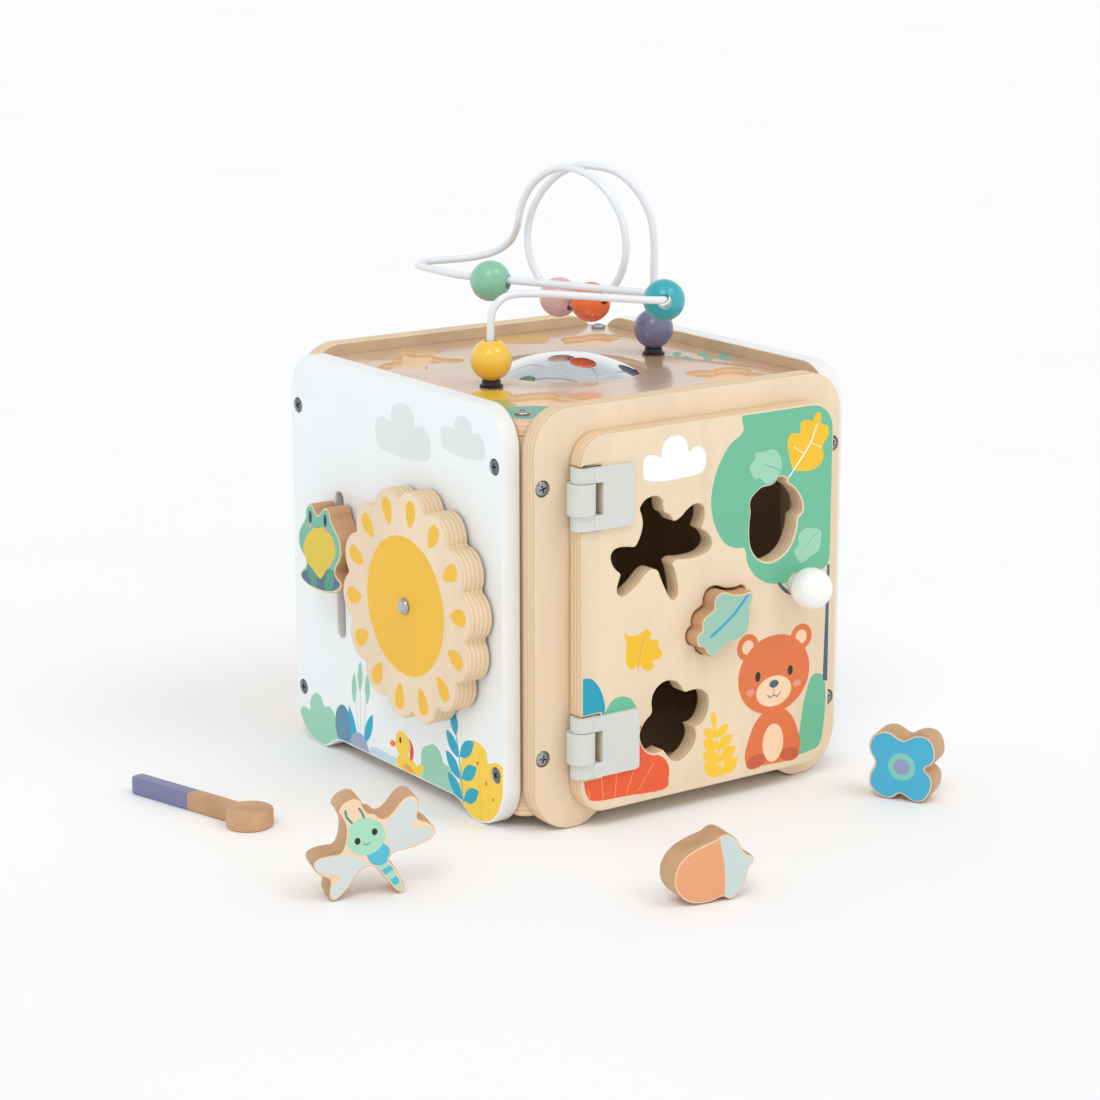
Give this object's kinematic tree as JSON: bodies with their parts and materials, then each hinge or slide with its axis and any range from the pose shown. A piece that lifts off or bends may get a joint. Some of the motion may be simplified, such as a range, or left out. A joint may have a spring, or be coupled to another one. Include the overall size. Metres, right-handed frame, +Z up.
{
  "type": "shape sorter",
  "caption": "Wooden activity cube: a hinged door with shape holes and a leaf block in it, a turning sun wheel, a frog slider, a bead wire over a convex mirror, loose shape blocks and a beater.",
  "frame": {"origin": "on the floor, at the middle of the box round every piece, the loose blocks and the beater included", "axes": "+Z up; -Y is the side with the door; -X is the side with the sun wheel"},
  "size_m": [0.4, 0.4196, 0.3642],
  "materials": {
    "bar_metal": "painted",
    "beech": "clear lacquer, satin",
    "black_plastic": "moulded",
    "hinge_grey": "moulded",
    "mint_paint": "paint, satin",
    "mirror": "polished",
    "orange_paint": "paint, satin",
    "pink_paint": "paint, satin",
    "ply": "clear lacquer, satin",
    "purple_paint": "paint, satin",
    "steel": "zinc plated",
    "teal_paint": "paint, satin",
    "white_paint": "white paint, satin",
    "wire_coat": "white coating on steel wire",
    "yellow_paint": "paint, satin"
  },
  "bodies": {
    "case": {"back_panel": "ply", "bead_wire": "wire_coat", "floor_panel": "ply", "front_panel": "ply", "front_screw_1": "steel", "front_screw_2": "steel", "front_screw_3": "steel", "front_screw_4": "steel", "hinge_lower_frame_leaf": "hinge_grey", "hinge_lower_pin": "steel", "hinge_upper_frame_leaf": "hinge_grey", "hinge_upper_pin": "steel", "left_panel": "white_paint", "left_screw_1": "steel", "left_screw_2": "steel", "left_screw_3": "steel", "left_screw_4": "steel", "mirror": "mirror", "post_back_left": "ply", "post_back_right": "ply", "post_front_left": "ply", "post_front_right": "ply", "right_panel": "white_paint", "sun_axle": "steel", "sun_nut": "steel", "sun_spacer": "black_plastic", "top_panel": "ply", "top_screw_1": "steel", "top_screw_2": "steel", "top_screw_3": "steel", "top_screw_4": "steel", "wire_collar_1": "black_plastic", "wire_collar_2": "black_plastic", "xylophone_bar_1": "bar_metal", "xylophone_bar_2": "bar_metal", "xylophone_bar_3": "bar_metal", "xylophone_bar_4": "bar_metal", "xylophone_bar_5": "bar_metal", "xylophone_rail_lower": "beech", "xylophone_rail_upper": "beech"},
    "door": {"door_panel": "ply", "hinge_upper_door_leaf": "hinge_grey", "hinge_lower_door_leaf": "hinge_grey", "door_knob": "white_paint", "knob_screw": "steel"},
    "leaf": {"leaf_block": "beech"},
    "sun": {"sun_wheel": "ply"},
    "frog": {"frog_block": "beech", "frog_guide_pin": "beech", "frog_retainer": "beech"},
    "yellow_bead": {"bead_yellow": "yellow_paint"},
    "mint_bead": {"bead_mint": "mint_paint"},
    "teal_bead": {"bead_teal": "teal_paint"},
    "orange_bead": {"bead_orange": "orange_paint"},
    "pink_bead": {"bead_pink": "pink_paint"},
    "purple_bead": {"bead_purple": "purple_paint"},
    "dragonfly": {"dragonfly_block": "beech"},
    "acorn": {"acorn_block": "beech"},
    "flower": {"flower_block": "beech"},
    "beater": {"beater": "beech"}
  },
  "joints": [
    {"name": "door_hinge", "type": "hinge", "parent": "case", "child": "door", "pos_m": [-0.01383, -0.0703, 0.125], "axis": [0, 0, -1], "range_deg": [0, 75]},
    {"name": "leaf_lift_out", "type": "slide", "parent": "door", "child": "leaf", "axis": [0, -1, 0], "range_m": [0, 0.03]},
    {"name": "sun_spin", "type": "hinge", "parent": "case", "child": "sun", "pos_m": [-0.06213, 0.0291, 0.122], "axis": [-1, 0, 0], "continuous": true},
    {"name": "frog_slide", "type": "slide", "parent": "case", "child": "frog", "axis": [0, 0, 1], "range_m": [-0.0555, 0.0278]},
    {"name": "yellow_slide", "type": "slide", "parent": "case", "child": "yellow_bead", "axis": [0, 0, 1], "range_m": [0, 0.017]},
    {"name": "purple_slide", "type": "slide", "parent": "case", "child": "purple_bead", "axis": [0, 0, 1], "range_m": [0, 0.055]},
    {"name": "teal_slide", "type": "slide", "parent": "case", "child": "teal_bead", "axis": [0.5764, 0.8145, -0.0652], "range_m": [-0.001, 0.0058]},
    {"name": "mint_slide", "type": "slide", "parent": "case", "child": "mint_bead", "axis": [0.5704, -0.8206, -0.0347], "range_m": [-0.0028, 0.092]},
    {"name": "orange_run", "type": "hinge", "parent": "case", "child": "orange_bead", "pos_m": [0.09887, 0.0933, 0.3192], "axis": [-0.9759, -0.2182, 0], "range_deg": [0, 57]},
    {"name": "pink_run", "type": "hinge", "parent": "case", "child": "pink_bead", "pos_m": [0.09887, 0.0933, 0.3192], "axis": [0.9759, 0.2182, 0], "range_deg": [0, 42]},
    {"name": "dragonfly_lift", "type": "slide", "parent": "case", "child": "dragonfly", "axis": [0, 0, 1], "range_m": [0, 0.04]},
    {"name": "acorn_lift", "type": "slide", "parent": "case", "child": "acorn", "axis": [0, 0, 1], "range_m": [0, 0.04]},
    {"name": "flower_lift", "type": "slide", "parent": "case", "child": "flower", "axis": [0, 0, 1], "range_m": [0, 0.04]},
    {"name": "beater_lift", "type": "slide", "parent": "case", "child": "beater", "axis": [0, 0, 1], "range_m": [0, 0.04]}
  ]
}
